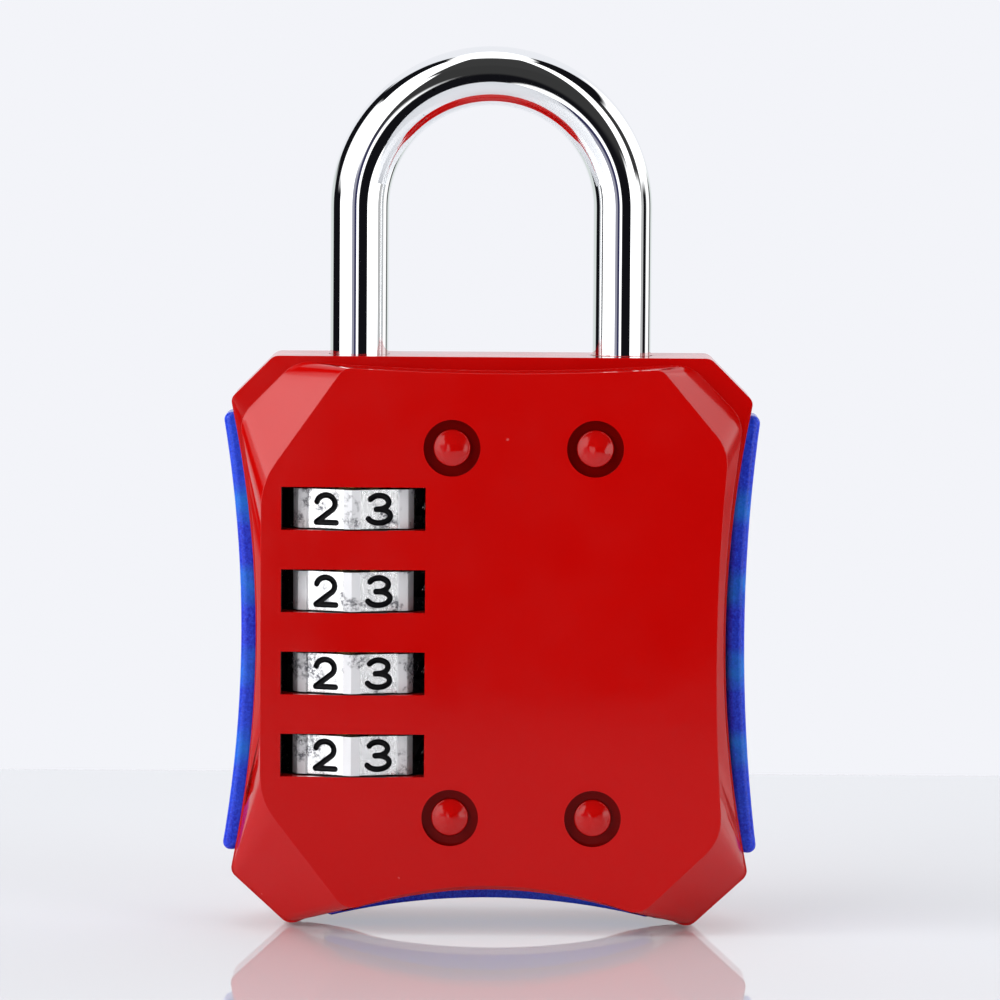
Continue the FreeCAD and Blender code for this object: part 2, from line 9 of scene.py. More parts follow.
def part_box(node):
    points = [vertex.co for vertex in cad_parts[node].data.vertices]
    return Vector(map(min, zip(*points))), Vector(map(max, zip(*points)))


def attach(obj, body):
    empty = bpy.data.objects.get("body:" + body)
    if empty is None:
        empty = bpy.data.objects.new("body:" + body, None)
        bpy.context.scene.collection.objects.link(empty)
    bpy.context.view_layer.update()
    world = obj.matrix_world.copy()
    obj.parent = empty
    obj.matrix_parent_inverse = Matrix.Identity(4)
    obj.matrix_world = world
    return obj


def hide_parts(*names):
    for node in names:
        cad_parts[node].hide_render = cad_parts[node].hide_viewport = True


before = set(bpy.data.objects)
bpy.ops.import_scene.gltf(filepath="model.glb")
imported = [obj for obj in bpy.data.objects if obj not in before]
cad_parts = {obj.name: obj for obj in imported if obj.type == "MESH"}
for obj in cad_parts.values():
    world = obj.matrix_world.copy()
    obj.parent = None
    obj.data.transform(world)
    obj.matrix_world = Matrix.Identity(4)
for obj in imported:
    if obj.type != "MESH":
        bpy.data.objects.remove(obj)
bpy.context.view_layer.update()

MM = 0.001
DIAL_COUNT = 4
DIGIT_COUNT = 10
STEP = math.tau / DIGIT_COUNT


# Places worked out from the frame, in metres ---------------------------------------------------

def middle(node):
    low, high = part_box(node)
    return (low + high) / 2


SHACKLE_LOW, SHACKLE_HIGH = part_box("shackle")
FRONT_LOW, FRONT_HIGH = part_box("front_shell")
REAR_LOW, REAR_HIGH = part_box("rear_shell")
BAR_RADIUS = 3.05 * MM
SHACKLE_Y = FRONT_HIGH.y
FRONT_DEPTH = SHACKLE_Y - FRONT_LOW.y
REAR_DEPTH = REAR_HIGH.y - SHACKLE_Y
CASE_HEIGHT = FRONT_HIGH.z
CASE_HALF = FRONT_HIGH.x
DIAL_X = middle("dial_wheel_1").x
DIAL_PITCH = abs(middle("dial_wheel_1").z - middle("dial_wheel_2").z)
DIAL_MIDDLE = (middle("dial_wheel_1").z + middle("dial_wheel_4").z) / 2
LEG_X = SHACKLE_LOW.x + BAR_RADIUS
TOE_X = SHACKLE_HIGH.x - BAR_RADIUS
TAIL_RADIUS = 2.1 * MM
RIVETS_LOW, RIVETS_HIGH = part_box("case_rivets")
RIVET_PLACES = [Vector((x, y, z))
                for x in (RIVETS_LOW.x + TAIL_RADIUS, RIVETS_HIGH.x - TAIL_RADIUS)
                for z in (RIVETS_LOW.z + TAIL_RADIUS, RIVETS_HIGH.z - TAIL_RADIUS)
                for y in (FRONT_LOW.y, REAR_HIGH.y)]


# Small helpers ---------------------------------------------------------------------------------

def new_object(name, mesh, materials, smooth=True):
    piece = bpy.data.objects.new(name, mesh)
    bpy.context.scene.collection.objects.link(piece)
    for material in materials:
        mesh.materials.append(material)
    if smooth:
        mesh.shade_smooth()
    return piece


def mesh_from(bm, name):
    mesh = bpy.data.meshes.new(name)
    bmesh.ops.recalc_face_normals(bm, faces=bm.faces)
    bm.to_mesh(mesh)
    bm.free()
    return mesh


def scratch(name, mesh):
    """An object that only serves as a boolean's tool."""
    tool = bpy.data.objects.new(name, mesh)
    bpy.context.scene.collection.objects.link(tool)
    return tool


def apply_modifiers(piece):
    graph = bpy.context.evaluated_depsgraph_get()
    mesh = bpy.data.meshes.new_from_object(piece.evaluated_get(graph))
    piece.modifiers.clear()
    piece.data = mesh
    return piece


def boolean(piece, tool, operation):
    """Apply one exact boolean and remove its tool."""
    step = piece.modifiers.new("cut", "BOOLEAN")
    step.operation = operation
    step.solver = "EXACT"
    step.object = tool
    apply_modifiers(piece)
    bpy.data.objects.remove(tool)
    return piece


def soften(piece, width, angle, segments=3):
    """Round every edge sharper than angle, in degrees."""
    bevel = piece.modifiers.new("round", "BEVEL")
    bevel.width = width
    bevel.segments = segments
    bevel.limit_method = "ANGLE"
    bevel.angle_limit = math.radians(angle)
    bevel.miter_outer = "MITER_ARC"
    return apply_modifiers(piece)


def weigh_normals(piece):
    piece.data.shade_smooth()
    piece.data.set_sharp_from_angle(angle=math.radians(40))
    for face in piece.data.polygons:
        face.use_smooth = abs(face.normal.y) < 0.9995
    weighted = piece.modifiers.new("normals", "WEIGHTED_NORMAL")
    weighted.weight = 50
    weighted.keep_sharp = True
    return apply_modifiers(piece)


def loft(bm, rings, closed_ends=True):
    """Join rings of points of one length into a skin, in order, with a face over each end."""
    made = []
    for ring in rings:
        made.append([bm.verts.new(point) for point in ring])
    count = len(made[0])
    for lower, upper in zip(made, made[1:]):
        for index in range(count):
            after = (index + 1) % count
            bm.faces.new((lower[index], lower[after], upper[after], upper[index]))
    if closed_ends:
        bm.faces.new(list(reversed(made[0])))
        bm.faces.new(made[-1])
    return made


# Materials -------------------------------------------------------------------------------------

class Nodes:
    """A short way to write a node material: each call adds a node and returns its output."""

    def __init__(self, name):
        self.material = bpy.data.materials.new(name)
        self.material.use_nodes = True
        self.tree = self.material.node_tree
        self.shader = self.tree.nodes["Principled BSDF"]
        where = self.tree.nodes.new("ShaderNodeTexCoord")
        self.place = where.outputs["Object"]

    def link(self, value, socket):
        if isinstance(value, bpy.types.NodeSocket):
            self.tree.links.new(value, socket)
        else:
            socket.default_value = value

    def height(self):
        node = self.tree.nodes.new("ShaderNodeSeparateXYZ")
        self.tree.links.new(self.place, node.inputs[0])
        return node.outputs["Z"]

    def noise(self, scale, detail=2.0, roughness=0.5, place=None):
        node = self.tree.nodes.new("ShaderNodeTexNoise")
        node.inputs["Scale"].default_value = scale
        node.inputs["Detail"].default_value = detail
        node.inputs["Roughness"].default_value = roughness
        self.tree.links.new(place or self.place, node.inputs["Vector"])
        return node.outputs["Fac"]

    def cells(self, scale, place=None):
        node = self.tree.nodes.new("ShaderNodeTexVoronoi")
        node.inputs["Scale"].default_value = scale
        self.tree.links.new(place or self.place, node.inputs["Vector"])
        return node.outputs["Distance"]

    def stretched(self, scale, turn=(0, 0, 0)):
        node = self.tree.nodes.new("ShaderNodeMapping")
        node.inputs["Scale"].default_value = scale
        node.inputs["Rotation"].default_value = turn
        self.tree.links.new(self.place, node.inputs["Vector"])
        return node.outputs["Vector"]

    def remap(self, value, low, high, to_low, to_high):
        node = self.tree.nodes.new("ShaderNodeMapRange")
        for name, number in (("From Min", low), ("From Max", high),
                             ("To Min", to_low), ("To Max", to_high)):
            node.inputs[name].default_value = number
        self.tree.links.new(value, node.inputs["Value"])
        return node.outputs["Result"]

    def math(self, operation, first, second):
        node = self.tree.nodes.new("ShaderNodeMath")
        node.operation = operation
        self.link(first, node.inputs[0])
        self.link(second, node.inputs[1])
        return node.outputs[0]

    def mix(self, share, first, second):
        node = self.tree.nodes.new("ShaderNodeMix")
        node.data_type = "RGBA"
        self.link(share, node.inputs["Factor"])
        self.link(first, node.inputs["A"])
        self.link(second, node.inputs["B"])
        return node.outputs["Result"]

    def bump(self, height, strength, distance, under=None):
        node = self.tree.nodes.new("ShaderNodeBump")
        node.inputs["Strength"].default_value = strength
        node.inputs["Distance"].default_value = distance
        self.tree.links.new(height, node.inputs["Height"])
        if under is not None:
            self.tree.links.new(under, node.inputs["Normal"])
        return node.outputs["Normal"]

    def finish(self, **values):
        for name, value in values.items():
            self.link(value, self.shader.inputs[name.replace("_", " ")])
        return self.material


def red_paint(name, peel=0.02, specks=0.8, depth=1.0, gloss=0.3):
    """Glossy enamel over a zinc casting: slight flow marks, dust specks and hairline scratches.

    depth below 1 darkens it into painted shade, as used for the rivet recesses.
    """
    make = Nodes(name)
    drift = make.noise(60, 3)
    colour = make.mix(drift, (0.54 * depth, 0.0012 * depth, 0.0008 * depth, 1),
                      (0.60 * depth, 0.0024 * depth, 0.0016 * depth, 1))
    dust = make.remap(make.cells(330), 0.03, 0.06, specks, 0.0)
    rare = make.remap(make.noise(190, 1), 0.66, 0.70, 0.0, 1.0)
    dots = make.math("MULTIPLY", dust, rare)
    lines = make.remap(make.noise(900, 1, 0.5, make.stretched((1, 1, 0.035), (0, 0.7, 0))),
                       0.80, 0.83, 0.0, 0.5)
    marks = make.math("MAXIMUM", dots, make.math("MULTIPLY", lines, rare))
    colour = make.mix(marks, colour, (0.80, 0.25, 0.24, 1))
    flow = make.bump(make.noise(420, 2), peel, 0.0004)
    raised = make.bump(marks, 0.25, 0.0001, flow)
    rough = make.remap(make.noise(150, 3), 0.3, 0.7, 0.09, 0.15)
    return make.finish(Base_Color=colour, Roughness=rough, IOR=1.5, Specular_IOR_Level=gloss,
                       Normal=raised)


def cast_zinc(name):
    """The unpainted inside of the castings: dull grey metal darkened nearly to black, painted shade of
    the closed rooms.
    """
    make = Nodes(name)
    grain = make.noise(2500, 4, 0.65)
    # Painted shade: the bare zinc's grey is held at 0.02 to 0.06, standing in for the shadow inside the
    # rooms.
    colour = make.mix(grain, (0.020, 0.018, 0.020, 1), (0.060, 0.050, 0.052, 1))
    return make.finish(Base_Color=colour, Metallic=0.6, Roughness=make.remap(grain, 0, 1, 0.45, 0.75),
                       Normal=make.bump(grain, 0.3, 0.0001))


def blue_plastic(name):
    """Tinted translucent plastic with a sparkling grain, coloured brighter where the dial rooms lie
    behind: a painted glow of light from the chrome wheels.
    """
    make = Nodes(name)
    grain = make.noise(4200, 3, 0.7)
    clouds = make.noise(130, 3)
    deep = make.mix(make.remap(grain, 0.35, 0.65, 0.0, 1.0), (0.008, 0.014, 0.62, 1),
                    (0.028, 0.085, 0.98, 1))
    colour = make.mix(make.remap(clouds, 0.4, 0.7, 0.0, 0.4), deep, (0.015, 0.13, 1.0, 1))
    # Painted light: a brighter blue mixed in at each dial height stands in for light from the wheels
    # shining through the plastic.
    height = make.height()
    turns = make.math("MULTIPLY", make.math("SUBTRACT", height, DIAL_MIDDLE), math.tau / DIAL_PITCH)
    near_dial = make.remap(make.math("COSINE", turns, 0.0), -1.0, 0.2, 1.0, 0.0)
    off_middle = make.math("ABSOLUTE", make.math("SUBTRACT", height, DIAL_MIDDLE), 0.0)
    beside = make.remap(off_middle, 1.6 * DIAL_PITCH, 1.9 * DIAL_PITCH, 1.0, 0.0)
    painted_glow = make.math("MULTIPLY", near_dial, beside)
    painted_glow = make.math("MULTIPLY", painted_glow, make.remap(make.noise(300, 2), 0.35, 0.6, 0.2, 0.6))
    colour = make.mix(painted_glow, colour, (0.010, 0.36, 1.0, 1))
    return make.finish(Base_Color=colour, Roughness=make.remap(grain, 0.2, 0.8, 0.14, 0.30),
                       IOR=1.49, Transmission_Weight=0.08, Specular_IOR_Level=0.3,
                       Normal=make.bump(grain, 0.16, 0.00008))


def chrome(name):
    """Bright chromium plate with a few pits and faint drawing lines along the bar."""
    make = Nodes(name)
    pits = make.math("MULTIPLY", make.remap(make.cells(420), 0.05, 0.09, 1.0, 0.0),
                     make.remap(make.noise(230, 1), 0.60, 0.64, 0.0, 1.0))
    drawn = make.noise(900, 2, 0.5, make.stretched((1, 1, 0.03)))
    colour = make.mix(pits, (0.93, 0.94, 0.95, 1), (0.10, 0.10, 0.11, 1))
    normal = make.bump(pits, -0.5, 0.0001, make.bump(drawn, 0.012, 0.0001))
    rough = make.remap(drawn, 0.3, 0.7, 0.015, 0.045)
    return make.finish(Base_Color=colour, Metallic=1.0, Roughness=rough, Normal=normal)


def dial_plate(name, low, high, rough, metal):
    """Nickel plate over a grainy die casting: mottled dark where the plating is thin."""
    make = Nodes(name)
    grain = make.noise(3000, 4, 0.75)
    patches = make.noise(420, 3, 0.6)
    thin = make.remap(patches, 0.53, 0.63, 0.0, 1.0)
    specks = make.remap(grain, 0.42, 0.56, 0.0, 1.0)
    colour = make.mix(make.math("MULTIPLY", thin, specks), high, low)
    shine = make.remap(patches, 0.3, 0.7, rough * 0.8, rough * 1.3)
    normal = make.bump(grain, 0.30, 0.00007)
    return make.finish(Base_Color=colour, Metallic=metal, Roughness=shine, Normal=normal)


def digit_paint(name):
    """Black enamel pooled in the engraved digits."""
    make = Nodes(name)
    flow = make.noise(1800, 2)
    colour = make.mix(flow, (0.002, 0.002, 0.003, 1), (0.006, 0.006, 0.008, 1))
    return make.finish(Base_Color=colour, Roughness=make.remap(flow, 0, 1, 0.25, 0.4), IOR=1.5,
                       Specular_IOR_Level=0.12, Normal=make.bump(flow, 0.2, 0.00005))


def plain_metal(name, low, high, rough, grain_scale=1500):
    """A turned or rolled metal with a fine grain."""
    make = Nodes(name)
    grain = make.noise(grain_scale, 3, 0.6, make.stretched((1, 1, 0.2)))
    colour = make.mix(grain, low, high)
    return make.finish(Base_Color=colour, Metallic=1.0,
                       Roughness=make.remap(grain, 0, 1, rough * 0.7, rough * 1.3),
                       Normal=make.bump(grain, 0.08, 0.00005))


def gloss_floor(name):
    """A white acrylic sheet that mirrors what stands on it."""
    make = Nodes(name)
    tone = make.noise(4, 2)
    colour = make.mix(tone, (0.79, 0.81, 0.845, 1), (0.83, 0.845, 0.88, 1))
    return make.finish(Base_Color=colour, Roughness=0.02, IOR=1.5, Normal=make.bump(tone, 0.001, 0.001))


RED = red_paint("red_paint")
RED_RIVET = red_paint("red_paint_rivet", peel=0.5, specks=0.2, gloss=0.45)
# Painted shade: a darkened red for the rivet recess faces, standing in for the shadow in the deep
# grooves.
RED_PAINTED_SHADE = red_paint("red_paint_painted_shade", specks=0.0, depth=0.36, gloss=0.12)
INSIDE_PAINTED_SHADE = cast_zinc("cast_zinc_painted_shade")
BLUE = blue_plastic("blue_plastic")
CHROME = chrome("chrome_plate")
DIAL = dial_plate("dial_plate", (0.16, 0.16, 0.18, 1), (0.90, 0.90, 0.91, 1), 0.24, 1.0)
DIAL_RIB = dial_plate("dial_plate_rib", (0.20, 0.20, 0.22, 1), (0.86, 0.86, 0.88, 1), 0.5, 0.45)
BLACK = digit_paint("digit_paint")
BRASS = plain_metal("brass", (0.70, 0.47, 0.16, 1), (0.80, 0.58, 0.24, 1), 0.28)
STEEL = plain_metal("spring_steel", (0.42, 0.42, 0.44, 1), (0.58, 0.58, 0.60, 1), 0.25)


# Case shells -----------------------------------------------------------------------------------

SIDE_POINTS = 18
CORNER_POINTS = 6
BAND_SLOPE = 1.93


def rounded_loop(corners, hollows, cuts, levels):
    """A closed ring of points from eight corners in X and Z.

    hollows maps a side to how far its middle stands inside its chord, cuts says how far each
    corner's rounding reaches along its two sides, and levels gives each corner's Y.
    """
    count = len(corners)
    sides = []
    for index in range(count):
        start, end = Vector(corners[index]), Vector(corners[(index + 1) % count])
        along = end - start
        inward = Vector((-along.y, along.x)).normalized()
        first = cuts[index] / along.length
        last = 1 - cuts[(index + 1) % count] / along.length
        points = []
        for step in range(SIDE_POINTS + 1):
            share = first + (last - first) * step / SIDE_POINTS
            bulge = 4 * share * (1 - share) * hollows.get(index, 0.0)
            flat = start + along * share + inward * bulge
            level = levels[index] + (levels[(index + 1) % count] - levels[index]) * share
            points.append(Vector((flat.x, level, flat.y)))
        sides.append(points)
    ring = []
    for index in range(count):
        before, after = sides[index - 1][-1], sides[index][0]
        corner = Vector((corners[index][0], levels[index], corners[index][1]))
        for step in range(1, CORNER_POINTS):
            share = step / CORNER_POINTS
            ring.append(before * (1 - share) ** 2 + corner * 2 * share * (1 - share)
                        + after * share ** 2)
        ring.extend(sides[index])
    return ring


def distance_to_ring(point, ring):
    """How far a point lies from a closed ring, seen square to the face."""
    place = Vector((point.x, point.z))
    nearest = math.inf
    for first, last in zip(ring, ring[1:] + ring[:1]):
        start = Vector((first.x, first.z))
        along = Vector((last.x, last.z)) - start
        share = (place - start).dot(along) / max(along.length_squared, 1e-18)
        foot = start + along * min(max(share, 0.0), 1.0)
        nearest = min(nearest, (place - foot).length)
    return nearest


def raised_blank(face_corners, face_hollows, depth, facing, foot_level):
    """The outside of one shell: outline, lip and raised face, with its edges rounded.

    The ring order is left of top, then down the left side and back up the right. facing is -1 for
    the front shell and 1 for the rear.
    """
    skin = 0.03 * MM
    lip = 5.0 * MM
    outline = [(-22.4, 59.2), (-26.8, 54.8), (-26.8, 5.6), (-20.7, 0.0),
               (20.7, 0.0), (26.8, 5.6), (26.8, 54.8), (22.4, 59.2)]
    base = [(-20.1, 58.7), (-25.95, 52.8), (-26.65, 5.7), (-20.6, 0.15),
            (20.6, 0.15), (26.65, 5.7), (25.9, 52.75), (20.2, 58.6)]
    outline_hollows = {1: 2.6, 3: 4.5, 5: 2.6}
    base_hollows = {1: 2.4, 3: 4.5, 5: 2.4, 7: 0.85}

    def ring(corners, hollows, cuts, levels):
        shrink = 1 - skin / (26.8 * MM)
        points = []
        for x, z in corners:
            points.append((x * shrink * MM, (29.6 + (z - 29.6) * shrink) * MM))
        inside = {side: hollow * MM for side, hollow in hollows.items()}
        reach = [cut * MM for cut in cuts]
        heights = [SHACKLE_Y + facing * level for level in levels]
        return rounded_loop(points, inside, reach, heights)

    top, foot = lip, foot_level
    levels = [top, top, foot, foot, foot, foot, top, top]
    outer_cuts = [0.55, 0.55, 0.7, 1.0, 1.0, 0.7, 0.55, 0.55]
    base_cuts = [1.8, 1.8, 0.9, 1.2, 1.2, 0.9, 2.0, 1.8]
    face_cuts = [0.8, 2.6, 2.5, 1.5, 1.5, 2.5, 2.0, 0.8]
    rings = [
        ring(outline, outline_hollows, outer_cuts, [-1.0 * MM] * 8),
        ring(outline, outline_hollows, outer_cuts, levels),
        ring(base, base_hollows, base_cuts, levels),
        ring(face_corners, face_hollows, face_cuts, [depth - skin] * 8),
    ]
    shoulder = []
    for foot, brow in zip(rings[2], rings[3]):
        point = foot.lerp(brow, 0.08)
        on_facet = facing * (point.y - SHACKLE_Y)
        on_band = depth - BAND_SLOPE * distance_to_ring(point, rings[3])
        level = max(on_facet, min(on_band, depth - 0.8 * MM))
        point.y = SHACKLE_Y + facing * level
        shoulder.append(point)
    rings.insert(3, shoulder)
    bm = bmesh.new()
    loft(bm, rings)
    mesh = mesh_from(bm, "blank")
    blank = scratch("blank", mesh)
    return soften(blank, 0.5 * MM, 17, segments=4)


def cad_copy(node, name):
    """A separate copy of a CAD node's mesh with its coplanar triangles merged."""
    bm = bmesh.new()
    bm.from_mesh(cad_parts[node].data)
    bmesh.ops.remove_doubles(bm, verts=bm.verts, dist=1e-7)
    bmesh.ops.dissolve_limit(bm, angle_limit=math.radians(0.3), verts=bm.verts, edges=bm.edges)
    mesh = bpy.data.meshes.new(name)
    bm.to_mesh(mesh)
    bm.free()
    return scratch(name, mesh)


def round_openings(piece, face_y, width):
    """Round the edges where windows and recesses meet the flat face."""
    bm = bmesh.new()
    bm.from_mesh(piece.data)
    edges = []
    for edge in bm.edges:
        on_face = all(abs(vertex.co.y - face_y) < 0.004 * MM for vertex in edge.verts)
        if on_face and len(edge.link_faces) == 2 and edge.calc_face_angle(0) > math.radians(60):
            edges.append(edge)
    bmesh.ops.bevel(bm, geom=edges, offset=width, segments=3, profile=0.5, affect="EDGES",
                    clamp_overlap=True)
    bm.to_mesh(piece.data)
    bm.free()


def paint_inside(piece, skin, face_y):
    """Give the unpainted rooms and bores the second material, darkened as painted shade, and the rivet
    recesses the third, a darker red of painted shade.

    skin is the search tree of the shell's outside: what lies off it, and behind the wall round the
    windows, is inside.
    """
    for face in piece.data.polygons:
        depth = abs(face.center.y - face_y)
        distance = skin.find_nearest(face.center)[3]
        if distance < 0.2 * MM:
            face.material_index = 0
        # Faces deep behind the face get the near-black inside, painted shade.
        elif depth > 1.62 * MM:
            face.material_index = 1
        # Faces near a rivet get the darkened red, painted shade of the recess.
        elif min((face.center - place).length for place in RIVET_PLACES) < 4.0 * MM:
            face.material_index = 2
        else:
            face.material_index = 0


def shell(node, blank, face_y):
    """A case shell: the blank's outside with the CAD node's rooms, windows, bores and pockets."""
    piece = cad_copy(node, node + "_look")
    outside = bmesh.new()
    outside.from_mesh(blank.data)
    skin = BVHTree.FromBMesh(outside)
    outside.free()
    boolean(piece, blank, "INTERSECT")
    piece.data.materials.clear()
    for material in (RED, INSIDE_PAINTED_SHADE, RED_PAINTED_SHADE):
        piece.data.materials.append(material)
    paint_inside(piece, skin, face_y)
    round_openings(piece, face_y, 0.16 * MM)
    weigh_normals(piece)
    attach(piece, "case")
    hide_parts(node)
    return piece


def case_shells():
    front_face = [(-15.1, 58.25), (-23.5, 46.4), (-23.5, 13.9), (-14.7, 2.5),
                  (15.5, 2.2), (23.9, 10.2), (24.2, 50.0), (17.3, 58.25)]
    front_hollows = {1: 0.0, 3: 2.85, 5: 0.9, 7: 0.5}
    blank = raised_blank(front_face, front_hollows, FRONT_DEPTH, -1, 3.0 * MM)
    shell("front_shell", blank, FRONT_LOW.y + 0.03 * MM)
    rear_face = [(-16.3, 58.25), (-23.5, 49.0), (-23.5, 12.0), (-16.0, 2.3),
                 (16.0, 2.3), (23.5, 12.0), (23.5, 49.0), (16.3, 58.25)]
    rear_hollows = {1: 0.2, 3: 2.9, 5: 0.2, 7: 0.5}
    blank = raised_blank(rear_face, rear_hollows, REAR_DEPTH, 1, 3.0 * MM)
    shell("rear_shell", blank, REAR_HIGH.y - 0.03 * MM)


# Trim strips -----------------------------------------------------------------------------------

def trim(node, rounding):
    """A translucent strip with rounded edges and ends."""
    piece = cad_copy(node, node + "_look")
    bm = bmesh.new()
    bm.from_mesh(piece.data)
    ends = []
    for edge in bm.edges:
        along = (edge.verts[1].co - edge.verts[0].co).normalized()
        if abs(along.y) > 0.999 and edge.calc_face_angle(0) > math.radians(45):
            ends.append(edge)
    bmesh.ops.bevel(bm, geom=ends, offset=0.95 * MM, segments=6, profile=0.5, affect="EDGES",
                    clamp_overlap=True)
    bm.to_mesh(piece.data)
    bm.free()
    soften(piece, rounding, 30, segments=5)
    piece.data.materials.append(BLUE)
    weigh_normals(piece)
    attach(piece, "case")
    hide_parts(node)


# Rivets ----------------------------------------------------------------------------------------

def turned(bm, profile, centre, segments=48):
    """A solid turned about a Y-directed axis; profile is a list of (radius, y)."""
    rings = []
    for radius, y in profile:
        ring = []
        for index in range(segments):
            angle = math.tau * index / segments
            ring.append(Vector((centre.x + radius * math.cos(angle), y,
                                centre.z + radius * math.sin(angle))))
        rings.append(ring)
    loft(bm, rings)


def rivets():
    """Four rivets: a domed painted head in front, a shank, and a spread tail behind."""
    low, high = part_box("case_rivets")
    head_radius, tail_radius, shank_radius = 1.9 * MM, 2.1 * MM, 1.3 * MM
    front, back = low.y, high.y
    head_seat = front + 0.85 * MM
    tail_seat = back - 0.8 * MM
    bm = bmesh.new()
    left, right = low.x + tail_radius, high.x - tail_radius
    lower, upper = low.z + tail_radius, high.z - tail_radius
    for x in (left, right):
        for z in (lower, upper):
            profile = [(0.02 * MM, front + 0.0 * MM)]
            dome = 0.36 * MM
            edge = 0.22 * MM
            flat = head_radius - edge
            for step in range(1, 9):
                share = step / 8
                profile.append((flat * share, front + dome * share ** 2))
            for step in range(1, 6):
                angle = math.pi / 2 * step / 5
                profile.append((flat + edge * math.sin(angle),
                                front + dome + edge * (1 - math.cos(angle))))
            profile += [(head_radius, head_seat - 0.05 * MM), (head_radius - 0.05 * MM, head_seat),
                        (shank_radius, head_seat), (shank_radius, tail_seat),
                        (tail_radius - 0.05 * MM, tail_seat), (tail_radius, tail_seat + 0.05 * MM),
                        (tail_radius, back - 0.4 * MM)]
            for step in range(1, 6):
                angle = math.pi / 2 * step / 5
                profile.append((tail_radius - 0.3 * MM * (1 - math.cos(angle)),
                                back - 0.4 * MM + 0.3 * MM * math.sin(angle)))
            profile += [(tail_radius * 0.5, back - 0.02 * MM), (0.02 * MM, back)]
            turned(bm, profile, Vector((x, 0, z)))
    piece = new_object("case_rivets_look", mesh_from(bm, "case_rivets_look"), [RED_RIVET])
    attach(piece, "case")
    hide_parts("case_rivets")


# Shackle ---------------------------------------------------------------------------------------

def tube_rings(path, tangents, radii, around):
    """Rings of points round a path in the XZ plane."""
    rings = []
    for place, tangent, radius in zip(path, tangents, radii):
        across = Vector((tangent.z, 0, -tangent.x))
        ring = []
        for index in range(around):
            angle = math.tau * index / around
            ring.append(place + across * (radius * math.cos(angle))
                        + Vector((0, radius * math.sin(angle), 0)))
        rings.append(ring)
    return rings


def shackle():
    """The chrome bar: two legs and a half-circle bow, with four fins on the long leg."""
    bow_radius = (TOE_X - LEG_X) / 2
    bow_x = (TOE_X + LEG_X) / 2
    bow_z = SHACKLE_HIGH.z - BAR_RADIUS - bow_radius
    toe_end = CASE_HEIGHT - 6.0 * MM
    edge = 0.45 * MM
    path, tangents, radii = [], [], []

    def add(x, z, tangent, radius):
        path.append(Vector((x, SHACKLE_Y, z)))
        tangents.append(Vector(tangent))
        radii.append(radius)

    for step in range(6):
        angle = math.pi / 2 * step / 5
        add(LEG_X, SHACKLE_LOW.z + edge * (1 - math.cos(angle)), (0, 0, 1),
            BAR_RADIUS - edge * (1 - math.sin(angle)))
    for step in range(1, 8):
        add(LEG_X, SHACKLE_LOW.z + edge + (bow_z - SHACKLE_LOW.z - edge) * step / 8, (0, 0, 1),
            BAR_RADIUS)
    turns = 96
    for step in range(turns + 1):
        angle = math.pi * step / turns
        add(bow_x - bow_radius * math.cos(angle), bow_z + bow_radius * math.sin(angle),
            (math.sin(angle), 0, math.cos(angle)), BAR_RADIUS)
    for step in range(1, 5):
        add(TOE_X, bow_z + (toe_end + edge - bow_z) * step / 4, (0, 0, -1), BAR_RADIUS)
    for step in range(1, 6):
        angle = math.pi / 2 * step / 5
        add(TOE_X, toe_end + edge * (1 - math.sin(angle)), (0, 0, -1),
            BAR_RADIUS - edge * (1 - math.cos(angle)))
    bm = bmesh.new()
    loft(bm, tube_rings(path, tangents, radii, 80))
    piece = new_object("shackle_look", mesh_from(bm, "shackle_look"), [CHROME])
    fins = bmesh.new()
    for index in range(1, DIAL_COUNT + 1):
        sleeve_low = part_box(f"dial_sleeve_{index}")[0].z
        made = bmesh.ops.create_cube(fins, size=1.0)["verts"]
        size = Vector((1.8 * MM, 4.3 * MM - 1.0 * MM, 2.4 * MM))
        bmesh.ops.scale(fins, vec=size, verts=made)
        centre = Vector((LEG_X, SHACKLE_Y + 1.0 * MM + size.y / 2,
                         sleeve_low - 0.3 * MM - size.z / 2))
        bmesh.ops.translate(fins, vec=centre, verts=made)
    bmesh.ops.bevel(fins, geom=fins.edges[:], offset=0.12 * MM, segments=2, profile=0.5,
                    affect="EDGES")
    boolean(piece, scratch("fins", mesh_from(fins, "fins")), "UNION")
    weigh_normals(piece)
    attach(piece, "shackle_body")
    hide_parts("shackle")


# Number wheels ---------------------------------------------------------------------------------

WHEEL_TURN = math.radians(-2.6)
FLAT_RADIUS = 8.8 * MM
RIB_RADIUS = 9.58 * MM
RIB_HALF = 0.87 * MM
STROKE_RADIUS = 0.315 * MM


def arc(x, z, across, up, start, end):
    """Points along part of an ellipse, in millimetres and degrees."""
    steps = max(3, round(abs(end - start) / 12))
    points = []
    for step in range(steps + 1):
        angle = math.radians(start + (end - start) * step / steps)
        points.append((x + across * math.cos(angle), z + up * math.sin(angle)))
    return points


